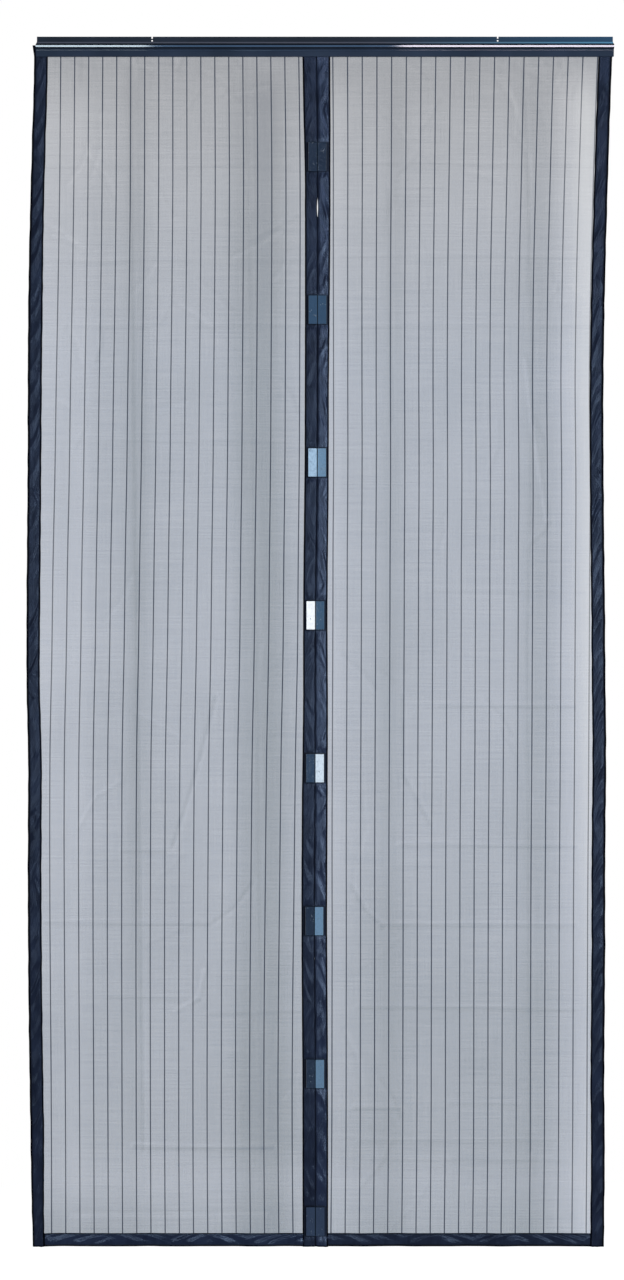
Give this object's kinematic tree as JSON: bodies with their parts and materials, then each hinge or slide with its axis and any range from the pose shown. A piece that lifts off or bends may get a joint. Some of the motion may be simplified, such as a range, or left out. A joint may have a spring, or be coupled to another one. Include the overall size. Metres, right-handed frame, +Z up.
{
  "type": "magnetic insect screen",
  "caption": "Doorway insect screen: two hanging mesh panels bound in tape, held together by magnet bars and clamped in a top rail.",
  "frame": {"origin": "centre of the rear face of the foam tape behind the mounting rail, on the wall plane", "axes": "+Z up, +Y into the wall that the rail is stuck to, +X to the right for someone facing the screen"},
  "size_m": [1.0169, 0.012, 2.1001],
  "materials": {
    "rail": "satin to glossy dark extruded plastic",
    "foam": "matt closed-cell foam",
    "mesh": "fine open weave with darker pinstripes",
    "binding": "plain woven tape with a slight sheen",
    "magnet": "gloss"
  },
  "bodies": {
    "root": {"adhesive_tape": "foam", "mounting_rail": "rail", "clip_rail": "rail", "left_mesh": "mesh", "right_mesh": "mesh", "left_top_hem": "binding", "right_top_hem": "binding", "left_side_binding": "binding", "right_side_binding": "binding", "left_bottom_binding": "binding", "right_bottom_binding": "binding", "left_centre_binding": "binding", "right_centre_binding": "binding", "magnet_left_1": "magnet", "magnet_left_2": "magnet", "magnet_left_3": "magnet", "magnet_left_4": "magnet", "magnet_left_5": "magnet", "magnet_left_6": "magnet", "magnet_left_7": "magnet", "magnet_left_8": "magnet", "magnet_right_1": "magnet", "magnet_right_2": "magnet", "magnet_right_3": "magnet", "magnet_right_4": "magnet", "magnet_right_5": "magnet", "magnet_right_6": "magnet", "magnet_right_7": "magnet", "magnet_right_8": "magnet"}
  },
  "joints": []
}
